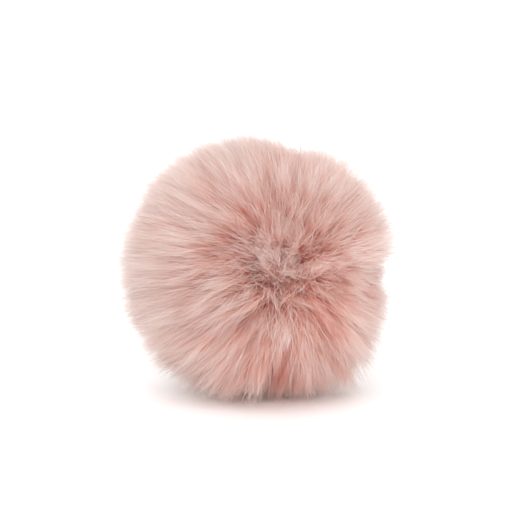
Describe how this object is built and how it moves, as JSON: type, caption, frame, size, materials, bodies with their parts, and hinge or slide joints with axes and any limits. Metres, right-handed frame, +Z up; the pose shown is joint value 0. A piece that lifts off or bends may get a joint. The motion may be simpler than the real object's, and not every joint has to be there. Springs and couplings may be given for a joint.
{
  "type": "faux fur pom pom",
  "caption": "Fluffy round pom pom of faux fur, its pile combed away from a crown at the front and pressed level where it rests.",
  "frame": {"origin": "on the floor, under the middle of the pom pom's width and depth", "axes": "+Z up, -Y the front, which the crown of the nap faces, and +X to the right as seen from the front"},
  "size_m": [0.1006, 0.096, 0.0944],
  "materials": {
    "fur": "soft dusty pink acrylic pile"
  },
  "bodies": {
    "root": {"fur_ball": "fur"}
  },
  "joints": []
}
